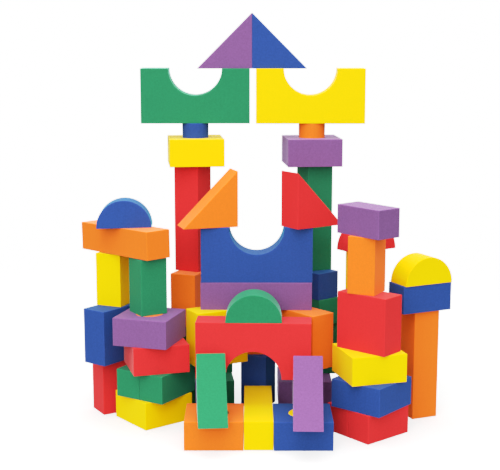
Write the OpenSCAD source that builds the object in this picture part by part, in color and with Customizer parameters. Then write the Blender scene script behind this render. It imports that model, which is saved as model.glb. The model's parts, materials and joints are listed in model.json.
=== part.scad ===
// Castle of giant foam building blocks, stacked loose on the floor.
// X runs to the right, Y away from the viewer, Z up. The origin is under the
// middle of the long yellow bar in the front row. Lengths are in millimetres.

/* [Block kit] */

// Thickness of the foam, which is also the side of the square grid that every block is cut on, mm
block_side = 70; // [60:1:90]
// Radius of the round cut-out in an arch, mm
notch_r = 69; // [45:0.5:80]
// Foam lost around a half-round when it is cut out of its arch, mm
kerf = 0.5; // [0.2:0.1:4]
// Diameter of the round plug that is punched out of a slab, mm
plug_d = 68; // [50:1:90]
// Clearance all round a plug in its hole, mm
plug_gap = 0.4; // [0.3:0.1:1.5]

/* [Stacking] */

// Gap between blocks that are laid side by side, mm
seam = 0.7; // [0.4:0.1:2]
// How far the plugs on the towers stand out of the caps, mm
plug_out = 38; // [10:1:55]
// How much lower the yellow post at the far left stands than a full one, mm
post_drop = 4.2; // [0:0.2:8]
// Clearance under a block where it rests on the one below, mm
rest_gap = 0.02; // [0.01:0.01:0.1]

/* [Hidden] */

$fn = 96;
half_r = notch_r - kerf;
// The seam as a share of the grid, so that paired blocks part evenly
seam_share = seam / block_side;
// Levels of the towers from their plugs up, counted in blocks
plug_level = 9 + plug_out / block_side;
arch_level = plug_level + 1;
roof_level = arch_level + 2;

// Where the beam on the left wing touches its higher and its lower post,
// measured along the beam from its middle, counted in blocks
high_edge = 0.7;
low_edge = -1.286;
lean_turn = atan(post_drop / ((high_edge - low_edge) * block_side));

purple = [0.55, 0.33, 0.60];
blue = [0.18, 0.33, 0.65];
green = [0.13, 0.58, 0.36];
yellow = [0.97, 0.84, 0.05];
red = [0.86, 0.16, 0.17];
orange = [0.95, 0.50, 0.14];

// Which node to draw, or all of them

// Stands a block at a place on the floor plan, turned, on a level.
// Place and level are counted in blocks. The turn is in degrees, anticlockwise
// seen from above.
module at(x, y, turn, level)
    translate([x * block_side, y * block_side, level * block_side])
        rotate([0, 0, turn])
            children();

// Slopes the beam on the left wing, and what stands on it, down to the lower post.
// It turns about the edge of the higher post.
module lean()
    translate([high_edge * block_side, 0, rest_gap])
        rotate([0, -lean_turn, 0])
            translate([-high_edge * block_side, 0, 0])
                children();

// The shapes in the kit, each standing centred on its own floor

// Straight block, given in whole grid squares long, deep and high
module block(long, deep, high)
    translate([-long * block_side / 2, -deep * block_side / 2, 0])
        cube([long * block_side, deep * block_side, high * block_side - rest_gap]);

// Flat profile in X and Z, cut through the thickness of the foam
module cut_through()
    translate([0, block_side / 2, 0])
        rotate([90, 0, 0])
            linear_extrude(height = block_side)
                children();

// Arch standing on its two legs
module arch()
    cut_through()
        difference() {
            translate([-2 * block_side, 0])
                square([4 * block_side, 2 * block_side - rest_gap]);
            circle(r = notch_r);
        }

// The same arch turned over, so that it holds its cut-out up like a cradle
module cradle()
    translate([0, 0, 2 * block_side - rest_gap])
        rotate([0, 180, 0])
            arch();

// What the cutter takes out of an arch
module half_round()
    cut_through()
        intersection() {
            circle(r = half_r);
            translate([-2 * half_r, 0])
                square([4 * half_r, 2 * half_r]);
        }

// Right-angled triangle with its upright face towards +X
module triangle()
    cut_through()
        polygon([[-block_side, 0], [block_side, 0], [block_side, 2 * block_side]]);

// Slab with a round hole punched through its middle
module holed_slab()
    difference() {
        block(2, 2, 1);
        translate([0, 0, -block_side])
            cylinder(d = plug_d + 2 * plug_gap, h = 3 * block_side);
    }

// What the punch takes out of a slab
module plug()
    cylinder(d = plug_d, h = block_side - rest_gap);

// Front row and the two ramps

module front_slab_orange()
    color(orange)
        at(-1.5 - seam_share, -1.04, 0, 0)
            holed_slab();

module front_bar_yellow()
    color(yellow)
        at(0, 0, 0, 0)
            block(1, 4, 1);

module front_slab_blue()
    color(blue)
        at(1.5 + seam_share, -1.06, 0, 0)
            holed_slab();

module ramp_green()
    color(green)
        at(-1.57, -1.68, 94, 1)
            triangle();

module ramp_purple()
    color(purple)
        at(1.65, -1.98, 88, 1)
            triangle();

module plug_yellow()
    color(yellow)
        at(1.5 + seam_share, -1.06, 0, 0)
            plug();

// Gate: two hidden posts, the red arch across them and its half-round

module gate_post_left()
    color(purple)
        at(-1.7, 0.96, 90, 0)
            block(2, 1, 2);

module gate_post_right()
    color(purple)
        at(1.76, 0.94, 90, 0)
            block(2, 1, 2);

module gate_arch_red()
    color(red)
        at(-0.16, 0.02, -3, 2)
            arch();

module gate_half_green()
    color(green)
        at(-0.16, 0.03, -1, 4)
            half_round();

// Wall behind the gate

module wall_block_yellow()
    color(yellow)
        at(-1.49, 1.71, 28, 2)
            block(2, 1, 2);

module wall_block_orange()
    color(orange)
        at(1.66, 1.5, 130, 2)
            block(2, 1, 2);

module wall_bar_purple()
    color(purple)
        at(-0.06, 1.95, -1, 4)
            block(4, 1, 1);

module wall_arch_blue()
    color(blue)
        at(-0.05, 1.98, 0, 5)
            cradle();

module wall_triangle_orange()
    color(orange)
        at(-1.82, 1.84, 17, 7)
            triangle();

module wall_triangle_red()
    color(red)
        at(1.94, 2.02, 214, 7)
            triangle();

module rear_post_blue()
    color(blue)
        at(0.02, 2.9, -22, 0)
            block(1, 1, 2);

module rear_post_orange()
    color(orange)
        at(0.02, 3.15, 0, 2)
            block(1, 1, 2);

// Left tower, from the floor up

module left_tower_slab()
    color(green)
        at(-1.97, 3.46, 6, 0)
            block(2, 2, 1);

module left_tower_block()
    color(green)
        at(-1.98, 4.12, 2, 1)
            block(2, 1, 2);

module left_tower_upright()
    color(orange)
        at(-2.4, 3.8, 67, 3)
            block(2, 1, 2);

module left_tower_column()
    color(red)
        at(-2.44, 3.95, -27, 5)
            block(1, 1, 4);

module left_tower_cap()
    color(yellow)
        at(-2.32, 3.95, 6, 9)
            holed_slab();

module left_tower_plug()
    color(blue)
        at(-2.32, 3.95, 0, plug_level)
            plug();

module left_tower_arch()
    color(green)
        at(-2.31, 4.05, 1, arch_level)
            cradle();

module left_tower_roof()
    color(purple)
        at(-1.22, 4.15, 0, roof_level)
            triangle();

// Right tower, from the floor up

module right_tower_slab()
    color(purple)
        at(1.77, 3.44, 0, 0)
            block(2, 2, 1);

module right_tower_block()
    color(green)
        at(2.03, 4.02, 0, 1)
            block(2, 1, 2);

module right_tower_brick_low()
    color(green)
        at(2.08, 4, 128, 3)
            block(2, 1, 1);

module right_tower_brick_top()
    color(blue)
        at(2, 4.01, 130, 4)
            block(2, 1, 1);

module right_tower_column()
    color(green)
        at(2.14, 4.11, 22, 5)
            block(1, 1, 4);

module right_tower_cap()
    color(purple)
        at(2.01, 3.96, 5, 9)
            holed_slab();

module right_tower_plug()
    color(orange)
        at(2.01, 3.96, 0, plug_level)
            plug();

module right_tower_arch()
    color(yellow)
        at(1.94, 3.97, -1, arch_level)
            cradle();

module right_tower_roof()
    color(blue)
        at(0.79, 4.15, 180, roof_level)
            triangle();

// Left wing, from the floor up

module left_slab_yellow()
    color(yellow)
        at(-3.79, 1.32, 38, 0)
            block(2, 2, 1);

module left_brick_green_a()
    color(green)
        at(-3.68, 1.15, -32, 1)
            translate([-(0.5 + seam_share / 2) * block_side, 0, 0])
                block(1, 2, 1);

module left_brick_green_b()
    color(green)
        at(-3.68, 1.15, -32, 1)
            translate([(0.5 + seam_share / 2) * block_side, 0, 0])
                block(1, 2, 1);

module left_slab_red()
    color(red)
        at(-3.66, 1.1, 16, 2)
            block(2, 2, 1);

module left_slab_purple()
    color(purple)
        at(-3.86, 0.94, -17, 3)
            holed_slab();

module plug_orange()
    color(orange)
        at(-3.86, 0.94, 0, 3)
            plug();

module left_post_green()
    color(green)
        at(-3.92, 1.13, 31, 4)
            block(1, 1, 2);

module left_post_red()
    color(red)
        at(-5.47, 2.29, 30, 0)
            block(1, 1, 2);

module left_block_blue()
    color(blue)
        at(-5.31, 2.17, 53, 2)
            block(2, 1, 2);

module left_post_yellow()
    color(yellow)
        at(-5.25, 2.5, -23, 4)
            block(1, 1, 2 - post_drop / block_side);

module left_beam_orange()
    color(orange)
        at(-4.81, 2.06, -48, 6)
            lean()
                block(4, 1, 1);

module left_half_blue()
    color(blue)
        at(-4.81, 2.06, -48, 6)
            lean()
                at(0.18, -0.11, 51, 1)
                    half_round();

// Right wing, from the floor up

module right_brick_red_a()
    color(red)
        at(3.85, -0.08, 40, 0)
            translate([0, -(0.5 + seam_share / 2) * block_side, 0])
                block(2, 1, 1);

module right_brick_red_b()
    color(red)
        at(3.85, -0.08, 40, 0)
            translate([0, (0.5 + seam_share / 2) * block_side, 0])
                block(2, 1, 1);

module right_slab_blue()
    color(blue)
        at(3.95, -0.24, -40, 1)
            block(2, 2, 1);

module right_slab_yellow()
    color(yellow)
        at(3.86, -0.09, 16, 2)
            block(2, 2, 1);

module right_block_red()
    color(red)
        at(3.83, -0.16, -41, 3)
            block(2, 1, 2);

module right_post_orange()
    color(orange)
        at(3.72, -0.04, -28, 5)
            block(1, 1, 2);

module right_brick_purple()
    color(purple)
        at(3.75, 0.01, -51, 7)
            block(2, 1, 1);

module right_hidden_column()
    color(green)
        at(3.95, 2.8, 34, 0)
            block(1, 1, 4);

module right_hidden_post()
    color(yellow)
        at(3.95, 2.8, 34, 4)
            block(1, 1, 2);

module right_half_red()
    color(red)
        at(3.99, 2.77, 34, 6)
            half_round();

module right_column_orange()
    color(orange)
        at(5.88, 1.78, 22, 0)
            block(1, 1, 4);

module right_brick_blue()
    color(blue)
        at(5.83, 1.61, 25, 4)
            block(2, 1, 1);

module right_half_yellow()
    color(yellow)
        at(5.87, 1.59, 26, 5)
            half_round();

// Drawing

front_slab_orange();
front_bar_yellow();
front_slab_blue();
ramp_green();
ramp_purple();
plug_yellow();
gate_post_left();
gate_post_right();
gate_arch_red();
gate_half_green();
wall_block_yellow();
wall_block_orange();
wall_bar_purple();
wall_arch_blue();
wall_triangle_orange();
wall_triangle_red();
rear_post_blue();
rear_post_orange();
left_tower_slab();
left_tower_block();
left_tower_upright();
left_tower_column();
left_tower_cap();
left_tower_plug();
left_tower_arch();
left_tower_roof();
right_tower_slab();
right_tower_block();
right_tower_brick_low();
right_tower_brick_top();
right_tower_column();
right_tower_cap();
right_tower_plug();
right_tower_arch();
right_tower_roof();
left_slab_yellow();
left_brick_green_a();
left_brick_green_b();
left_slab_red();
left_slab_purple();
plug_orange();
left_post_green();
left_post_red();
left_block_blue();
left_post_yellow();
left_beam_orange();
left_half_blue();
right_brick_red_a();
right_brick_red_b();
right_slab_blue();
right_slab_yellow();
right_block_red();
right_post_orange();
right_brick_purple();
right_hidden_column();
right_hidden_post();
right_half_red();
right_column_orange();
right_brick_blue();
right_half_yellow();
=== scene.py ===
# %% [markdown]
# # A castle of giant foam blocks
#
# The object is a castle of sixty loose foam blocks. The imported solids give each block's
# exact shape and place. This script turns every solid into a foam block with rounded
# edges and slightly hollow cut sides, and gives it a matte, fine-grained foam finish.

import json
import math

import bmesh
import bpy
from mathutils import Matrix, Vector, noise


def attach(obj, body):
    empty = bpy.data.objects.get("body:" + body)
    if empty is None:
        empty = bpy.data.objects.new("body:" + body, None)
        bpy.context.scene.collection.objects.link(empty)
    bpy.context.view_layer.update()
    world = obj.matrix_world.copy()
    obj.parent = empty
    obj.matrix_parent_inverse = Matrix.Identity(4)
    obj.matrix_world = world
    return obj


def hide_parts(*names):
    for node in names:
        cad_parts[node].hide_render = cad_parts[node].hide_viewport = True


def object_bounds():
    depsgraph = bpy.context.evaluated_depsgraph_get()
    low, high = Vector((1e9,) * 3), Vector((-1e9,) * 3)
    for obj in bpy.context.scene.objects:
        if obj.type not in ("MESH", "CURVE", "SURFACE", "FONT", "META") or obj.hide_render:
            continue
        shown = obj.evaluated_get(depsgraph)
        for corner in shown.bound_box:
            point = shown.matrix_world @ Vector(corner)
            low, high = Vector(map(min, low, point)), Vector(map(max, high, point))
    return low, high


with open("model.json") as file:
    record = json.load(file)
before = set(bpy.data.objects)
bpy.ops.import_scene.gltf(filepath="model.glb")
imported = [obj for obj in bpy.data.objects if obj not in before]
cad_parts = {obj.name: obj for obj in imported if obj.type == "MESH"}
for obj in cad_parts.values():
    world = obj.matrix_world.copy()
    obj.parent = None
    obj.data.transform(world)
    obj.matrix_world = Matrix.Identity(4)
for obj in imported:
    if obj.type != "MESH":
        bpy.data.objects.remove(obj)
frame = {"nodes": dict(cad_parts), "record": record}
cad_low, cad_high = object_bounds()
scene = bpy.context.scene
record = frame["record"]

# %% [markdown]
# ## The camera
#
# The castle was photographed from a few steps back, a little above the middle, with a long
# lens. The place and the focal length were worked out from the corners of the blocks, so the
# camera is written down as those numbers and needs no aiming.

# %% Camera
PHOTO_WIDE = 500
SENSOR_WIDE = 36.0
FOCAL_PIXELS = 1134.6
TILT_DOWN = 9.958
EYE = (-0.0203, -2.681, 0.9604)

lens = bpy.data.cameras.new("photo_camera")
lens.sensor_width = SENSOR_WIDE
lens.lens = FOCAL_PIXELS / PHOTO_WIDE * SENSOR_WIDE
camera = bpy.data.objects.new("photo_camera", lens)
camera.location = EYE
camera.rotation_euler = (math.radians(90 - TILT_DOWN), 0, 0)
scene.collection.objects.link(camera)
scene.camera = camera
print("focal length:", round(lens.lens, 1), "mm")

# %% [markdown]
# ## Sums with sockets
#
# A material is a small graph of nodes. Written node by node, even one sum takes six lines, so
# this class wraps an output socket and lets Python's own signs add the Math nodes. Every other
# kind of node comes from its one method, which takes the settings first and then the sockets.


# %% Socket sums
class Wire:
    """One output of a node, to be used in sums."""

    def __init__(self, tree, output=None):
        self.tree = tree
        self.output = output

    def node(self, kind, settings=None, values=None, out=0):
        """Adds a node: its settings, then the values or links of its sockets."""
        made = self.tree.nodes.new(kind)
        for key, setting in (settings or {}).items():
            setattr(made, key, setting)
        for key, value in (values or {}).items():
            socket = made.inputs[key]
            if isinstance(value, Wire):
                self.tree.links.new(value.output, socket)
            else:
                socket.default_value = value
        return Wire(self.tree, made.outputs[out] if made.outputs else None)

    def sum(self, operation, first, second):
        return self.node("ShaderNodeMath", {"operation": operation}, {0: first, 1: second})

    def __add__(self, other):
        return self.sum("ADD", self, other)

    __radd__ = __add__

    def __sub__(self, other):
        return self.sum("SUBTRACT", self, other)

    def __rsub__(self, other):
        return self.sum("SUBTRACT", other, self)

    def __mul__(self, other):
        return self.sum("MULTIPLY", self, other)

    __rmul__ = __mul__

    def __pow__(self, other):
        return self.sum("POWER", self, other)


def new_material(name):
    """An empty material, and a wire to start its graph from."""
    material = bpy.data.materials.new(name)
    material.use_nodes = True
    material.node_tree.nodes.clear()
    return material, Wire(material.node_tree)


def show(start, surface):
    """Ends a material's graph in its output."""
    start.node("ShaderNodeOutputMaterial", {}, {"Surface": surface})


print("socket sums ready")

# %% [markdown]
# ## The foam
#
# The blocks are closed-cell foam. From close by its skin is full of tiny pits, the knife leaves
# faint upright lines, and the rounded edges are painted a little paler: partly rubbed wear and
# partly a painted highlight along the edges. The pits and lines are noises, and the pale edge is
# written on the points of the edges. All of them are fixed to the block, so nothing slides when it
# is lifted. Seen at a flat angle the skin has a pale bloom, which is a sheen with a tint of its own
# for each colour. Dark colours look more mottled than bright ones, so each colour also says how far
# its grain goes lighter and deeper.

# %% Foam finish
BROAD_SCALE = 9.0
GRAIN_SCALE = 230.0
PIT_SCALE = 900.0
KNIFE_SCALE = (150.0, 150.0, 5.0)
GRAIN_DETAIL, GRAIN_RAGGED = 3.0, 0.65
SOFT_DETAIL = 2.0
RUB_AND_HIGHLIGHT_FALL = 5
MEAN_SHADE = 0.95

# The share of each pattern in the lightness, the roughness and the height of the skin.
# The rounded edges get a paler tone: partly rubbed wear, partly a painted highlight along the
# edges.
TONE_FROM, BROAD_TONE, GRAIN_TONE, KNIFE_TONE, RUB_AND_HIGHLIGHT_TONE = 0.04, 0.12, 0.70, 0.10, 0.14
ROUGH_FROM, GRAIN_ROUGH, RUB_SMOOTH = 0.42, 0.2, 0.05
GRAIN_HIGH, PIT_HIGH, KNIFE_HIGH = 0.5, 0.3, 0.2
BUMP_STRENGTH, BUMP_DISTANCE = 0.22, 0.0006
SHINE = 0.03
BLOOM_WEIGHT, BLOOM_SPREAD = 0.4, 0.25


def shaded(colour, share):
    """A colour made lighter or deeper, with the fourth number that sockets ask for."""
    return tuple(min(1.0, c * share) for c in colour) + (1.0,)


def foam(name, colour, bloom, mottle):
    """Matte closed-cell foam: its colour, its bloom at a flat angle and how mottled it is."""
    material, start = new_material(name)
    place = start.node("ShaderNodeTexCoord", out="Object")
    broad = start.node("ShaderNodeTexNoise", {}, {
        "Vector": place, "Scale": BROAD_SCALE, "Detail": SOFT_DETAIL})
    grain = start.node("ShaderNodeTexNoise", {}, {
        "Vector": place, "Scale": GRAIN_SCALE, "Detail": GRAIN_DETAIL,
        "Roughness": GRAIN_RAGGED})
    upright = start.node("ShaderNodeVectorMath", {"operation": "MULTIPLY"}, {
        0: place, 1: KNIFE_SCALE})
    knife = start.node("ShaderNodeTexNoise", {}, {
        "Vector": upright, "Scale": 1.0, "Detail": SOFT_DETAIL})
    pits = start.node("ShaderNodeTexVoronoi", {}, {
        "Vector": place, "Scale": PIT_SCALE}, out="Distance")
    marked = start.node("ShaderNodeAttribute", {"attribute_name": "edge_rub_and_highlight"}, out="Fac")
    # Painted highlight: the rounded edge strips are made paler, partly as rubbed wear and partly as
    # a painted highlight where the edges catch the light.
    rub_and_highlight = marked ** RUB_AND_HIGHLIGHT_FALL
    tone = (TONE_FROM + BROAD_TONE * broad + GRAIN_TONE * grain + KNIFE_TONE * knife
            + RUB_AND_HIGHLIGHT_TONE * rub_and_highlight)
    body = start.node("ShaderNodeMix", {"data_type": "RGBA", "clamp_factor": True}, {
        0: tone, 6: shaded(colour, MEAN_SHADE - mottle),
        7: shaded(colour, MEAN_SHADE + mottle)}, out=2)
    rough = ROUGH_FROM + GRAIN_ROUGH * grain - RUB_SMOOTH * rub_and_highlight
    height = GRAIN_HIGH * grain + PIT_HIGH * pits + KNIFE_HIGH * knife
    bumps = start.node("ShaderNodeBump", {}, {
        "Strength": BUMP_STRENGTH, "Distance": BUMP_DISTANCE, "Height": height})
    surface = start.node("ShaderNodeBsdfPrincipled", {}, {
        "Base Color": body, "Roughness": rough, "Normal": bumps,
        "Specular IOR Level": SHINE, "Sheen Weight": BLOOM_WEIGHT,
        "Sheen Roughness": BLOOM_SPREAD, "Sheen Tint": bloom + (1.0,)})
    show(start, surface)
    return material


# Each foam's colour, the tint of its bloom and how mottled it is.
FOAM_COLOURS = {
    "foam_purple": ((0.172, 0.076, 0.207), (0.80, 0.68, 1.00), 0.36),
    "foam_blue": ((0.022, 0.060, 0.239), (0.10, 0.72, 1.00), 0.36),
    "foam_green": ((0.019, 0.185, 0.082), (0.45, 1.00, 0.85), 0.26),
    "foam_yellow": ((0.950, 0.559, 0.0003), (1.00, 0.90, 0.30), 0.06),
    "foam_red": ((0.667, 0.026, 0.027), (1.00, 0.70, 0.70), 0.24),
    "foam_orange": ((0.950, 0.158, 0.014), (1.00, 0.95, 0.85), 0.14),
}
foams = {name: foam(name, *finish) for name, finish in FOAM_COLOURS.items()}
print("foams:", ", ".join(foams))

# %% [markdown]
# ## From a solid to a foam block
#
# A solid arrives as bare triangles. First the triangles of one flat face are joined again. Then
# every sharp edge is rounded, because foam is never quite sharp, and the rounded strips are
# marked so that the finish can pale them, partly as rubbed wear and partly as a painted highlight.

# %% Faces and edges
EDGE_ROUND = 0.0011
ROUND_STEPS = 3
ROUND_PROFILE = 0.5
WELD = 1e-5
SHARP = math.radians(25)
FLAT = math.radians(1)


def joined_faces(solid):
    """The solid's mesh, with each flat face in one piece."""
    block = bmesh.new()
    block.from_mesh(solid.data)
    bmesh.ops.remove_doubles(block, verts=block.verts, dist=WELD)
    bmesh.ops.dissolve_limit(block, angle_limit=FLAT, verts=block.verts, edges=block.edges)
    block.normal_update()
    return block


def round_edges(block):
    """Rounds the sharp edges and marks the strips that this makes."""
    strip = block.faces.layers.int.new("strip")
    sharp = [e for e in block.edges if e.is_manifold and e.calc_face_angle() > SHARP]
    made = bmesh.ops.bevel(
        block, geom=sharp, offset=EDGE_ROUND, segments=ROUND_STEPS, profile=ROUND_PROFILE,
        affect="EDGES", clamp_overlap=True)
    for face in made["faces"]:
        face[strip] = 1
    return strip


print("edges are rounded by", EDGE_ROUND * 1000, "mm")

# %% [markdown]
# ## Room to bend
#
# A flat face has corners only, so it can't be hollowed. Slicing the block along its own three
# directions, like a loaf, gives every face a net of points and leaves its outline as it is. The
# slices need the block's turn, which is the way its largest upright face looks.

# %% Slices
SLICE = 0.014
RIM = 0.005
RIMS_FIT = 4
UPRIGHT = 0.1
ON_CUT = 1e-6


def own_frame(block):
    """The move that puts a block upright along the axes, with its middle at the origin."""
    upright = [f for f in block.faces if abs(f.normal.z) < UPRIGHT]
    largest = max(upright, key=lambda f: f.calc_area()).normal
    turn = math.atan2(largest.y, largest.x)
    middle = sum((v.co for v in block.verts), Vector()) / len(block.verts)
    return Matrix.Rotation(-turn, 4, "Z") @ Matrix.Translation(-middle)


def corners(block):
    """The lowest and highest corner of a block in its own frame."""
    low = Vector(min(v.co[k] for v in block.verts) for k in range(3))
    high = Vector(max(v.co[k] for v in block.verts) for k in range(3))
    return low, high


def slice_up(block, low, high):
    """Cuts the faces into a net, with one line close to each rim."""
    for k in range(3):
        across = high[k] - low[k]
        steps = max(2, round(across / SLICE))
        cuts = [low[k] + across * s / steps for s in range(1, steps)]
        if across > RIMS_FIT * RIM:
            cuts += [low[k] + RIM, high[k] - RIM]
        for cut in cuts:
            point, normal = Vector(), Vector()
            point[k], normal[k] = cut, 1.0
            bmesh.ops.bisect_plane(
                block, geom=block.verts[:] + block.edges[:] + block.faces[:],
                dist=ON_CUT, plane_co=point, plane_no=normal)
    block.normal_update()


print("slices are", SLICE * 1000, "mm apart")

# %% [markdown]
# ## Hollow sides
#
# Foam gives way under the knife and springs back, so a cut side ends up a little hollow, by about
# a third of a millimetre, and never dead flat. Sides move inwards, and the top and the bottom
# stay flat, because the blocks stand on them. Only the two halves of the roof differ: they lean
# on each other, and foam gives, so the faces where they meet are pressed flat and all but touch.

# %% Hollowing
HOLLOW = 0.0003
UNEVEN = 0.0001
UNEVEN_SCALE = 22.0
GIVE = 0.00034
FACING = 0.9
MEETS_TOWARDS = {"left_tower_roof": 1, "right_tower_roof": -1}


def bow(value, low, high):
    """0 at both ends and 1 in the middle."""
    share = (value - low) / (high - low)
    return max(0.0, 4 * share * (1 - share))


def hollow_sides(block, low, high, seed):
    """Draws the upright faces in towards the middle of the block."""
    moves = []
    for v in block.verts:
        x, y, z = (bow(v.co[k], low[k], high[k]) for k in range(3))
        depth = HOLLOW * z * (y * abs(v.normal.x) + x * abs(v.normal.y))
        side = 1 - v.normal.z ** 2
        uneven = 0.5 + 0.5 * noise.noise(v.co * UNEVEN_SCALE + seed)
        moves.append(-v.normal * (depth + UNEVEN * uneven * side))
    for v, move in zip(block.verts, moves):
        v.co += move


def lean_together(block, name):
    """Presses the face where the two halves of the roof meet flat against its neighbour."""
    if name not in MEETS_TOWARDS:
        return
    side = MEETS_TOWARDS[name]
    reach = max(side * v.co.x for v in frame["nodes"][name].data.vertices)
    for v in block.verts:
        if v.normal.x * side > FACING:
            v.co.x = side * (reach + GIVE)


def mark_rub_and_highlight(block, strip):
    """Writes 1 on the points of the rounded strips and 0 elsewhere: the mask for their paler tone,
    partly rubbed wear and partly a painted highlight.
    """
    rub_and_highlight = block.verts.layers.float.new("edge_rub_and_highlight")
    for v in block.verts:
        v[rub_and_highlight] = float(any(f[strip] for f in v.link_faces))


print("sides are hollow by up to", HOLLOW * 1000, "mm")

# %% [markdown]
# ## All the blocks
#
# Each block goes through the same steps, takes the colour that the record gives its solid,
# stands for that solid, and rides on the solid's body, so that it lifts with whatever is
# stacked on it.

# %% Make the blocks
SHADING_WEIGHT = 50

bodies = record["behaviour"]["bodies"]
body_of = {node: body for body, nodes in bodies.items() for node in nodes}
slot_of = {part["node"]: part["material_slot"] for part in record["subparts"]}


def foam_block(name, number):
    """The finished foam block that stands for one solid."""
    block = joined_faces(frame["nodes"][name])
    strip = round_edges(block)
    upright = own_frame(block)
    block.transform(upright)
    low, high = corners(block)
    slice_up(block, low, high)
    hollow_sides(block, low, high, Vector((number, 2 * number, 3 * number)))
    mark_rub_and_highlight(block, strip)
    block.transform(upright.inverted())
    block.normal_update()
    lean_together(block, name)
    for face in block.faces:
        face.smooth = True
    mesh = bpy.data.meshes.new("foam_" + name)
    block.to_mesh(mesh)
    block.free()
    mesh.materials.append(foams[slot_of[name]])
    piece = bpy.data.objects.new("foam_" + name, mesh)
    scene.collection.objects.link(piece)
    weighted = piece.modifiers.new("even_shading", "WEIGHTED_NORMAL")
    weighted.weight = SHADING_WEIGHT
    return piece


faces = 0
for number, name in enumerate(sorted(frame["nodes"])):
    piece = foam_block(name, number)
    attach(piece, body_of[name])
    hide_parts(name)
    faces += len(piece.data.polygons)
print("foam blocks:", len(frame["nodes"]), "faces:", faces)

# %% [markdown]
# ## Floor and light
#
# The photo is a plain studio shot: white all round, with big soft lights above and in front. The
# floor is a pale disc that fades out further away, where the white room shows through, so it has
# no visible edge. The lights are large, because a small light would draw hard shadows.

# %% Floor
FLOOR_RADIUS = 2.6
FLOOR_STEPS = 96
FLOOR_DROP = 0.0005
PAPER = (0.88, 0.88, 0.88, 1.0)
FADE_FROM, FADE_TO = 0.9, 2.4
NEAR_FADE = 0.6

ground = bmesh.new()
bmesh.ops.create_circle(ground, cap_ends=True, segments=FLOOR_STEPS, radius=FLOOR_RADIUS)
floor_mesh = bpy.data.meshes.new("studio_floor")
ground.to_mesh(floor_mesh)
ground.free()
floor = bpy.data.objects.new("studio_floor", floor_mesh)
floor.location.z = cad_low.z - FLOOR_DROP
scene.collection.objects.link(floor)

floor_finish, start = new_material("studio_floor")
place = start.node("ShaderNodeTexCoord", out="Object")
away = start.node("ShaderNodeVectorMath", {"operation": "LENGTH"}, {0: place}, out="Value")
far = start.node("ShaderNodeMapRange", {"interpolation_type": "SMOOTHSTEP"}, {
    "Value": away, "From Min": FADE_FROM, "From Max": FADE_TO})
paper = start.node("ShaderNodeBsdfDiffuse", {}, {"Color": PAPER})
clear = start.node("ShaderNodeBsdfTransparent")
thin = NEAR_FADE + (1 - NEAR_FADE) * far
show(start, start.node("ShaderNodeMixShader", {}, {0: thin, 1: paper, 2: clear}))
floor_mesh.materials.append(floor_finish)
print("floor radius:", FLOOR_RADIUS, "m")

# %% Lights
LOOK_AT = Vector((0.0, 0.2, 0.5))


def softbox(name, place, side, power):
    """A large square light aimed at the middle of the castle."""
    light = bpy.data.lights.new(name, "AREA")
    light.size = side
    light.energy = power
    holder = bpy.data.objects.new(name, light)
    holder.location = place
    aim = LOOK_AT - Vector(place)
    holder.rotation_euler = aim.to_track_quat("-Z", "Y").to_euler()
    scene.collection.objects.link(holder)


# Where each light hangs, the length of its side in metres and its power in watts.
SOFTBOXES = {
    "front_left_box": ((-1.5, -3.4, 1.9), 1.8, 61.0),
    "front_box": ((0.0, -3.9, 1.3), 1.8, 33.0),
    "high_front_box": ((-0.3, -2.2, 3.2), 2.0, 68.0),
    "top_box": ((0.0, 0.2, 3.4), 2.4, 80.0),
}
for box, setting in SOFTBOXES.items():
    softbox(box, *setting)

# %% [markdown]
# ## The white room
#
# The room itself also gives light, as white walls and a white ceiling do. It comes from above the
# horizon only, so that the undersides of the blocks stay dark. What the camera sees of the room is
# set apart from the light that it gives, so that the background is pure white at any strength.

# %% Room
ROOM_LIGHT = 1.53
FILM_WHITE = 1.8
HORIZON = 0.05
WHITE = (1.0, 1.0, 1.0, 1.0)

room = bpy.data.worlds.new("white_room")
room.use_nodes = True
room.node_tree.nodes.clear()
start = Wire(room.node_tree)
heading = start.node("ShaderNodeTexCoord", out="Generated")
rise = start.node("ShaderNodeSeparateXYZ", {}, {0: heading}, out="Z")
above = start.node("ShaderNodeMapRange", {"interpolation_type": "SMOOTHSTEP"}, {
    "Value": rise, "From Min": -HORIZON, "From Max": HORIZON})
seen = start.node("ShaderNodeLightPath", out="Is Camera Ray")
walls = start.node("ShaderNodeBackground", {}, {
    "Color": WHITE, "Strength": ROOM_LIGHT * above})
backdrop = start.node("ShaderNodeBackground", {}, {"Color": WHITE, "Strength": FILM_WHITE})
around = start.node("ShaderNodeMixShader", {}, {0: seen, 1: walls, 2: backdrop})
start.node("ShaderNodeOutputWorld", {}, {"Surface": around})
scene.world = room
print("room light:", ROOM_LIGHT)

# %% [markdown]
# ## Film
#
# In the photo a bright colour doesn't get much brighter in stronger light: a shaded yellow block
# is nearly as yellow as a lit one. A film curve does the same. It is straight for the darker
# third and bends over above it, and white is reached only at nearly twice the usual light.

# %% Film curve
# Light that comes in, and how bright it is shown.
FILM_POINTS = [(0.2, 0.2), (0.35, 0.35), (0.5, 0.483), (0.7, 0.618), (0.9, 0.717),
               (1.1, 0.788), (1.3, 0.84), (1.5, 0.878)]

look = scene.view_settings
look.view_transform = "Standard"
look.use_curve_mapping = True
film = look.curve_mapping
film.white_level = (FILM_WHITE, FILM_WHITE, FILM_WHITE)
all_channels = film.curves[3]
for light, shown in FILM_POINTS:
    all_channels.points.new(light / FILM_WHITE, shown)
film.update()
print("film points:", len(all_channels.points))
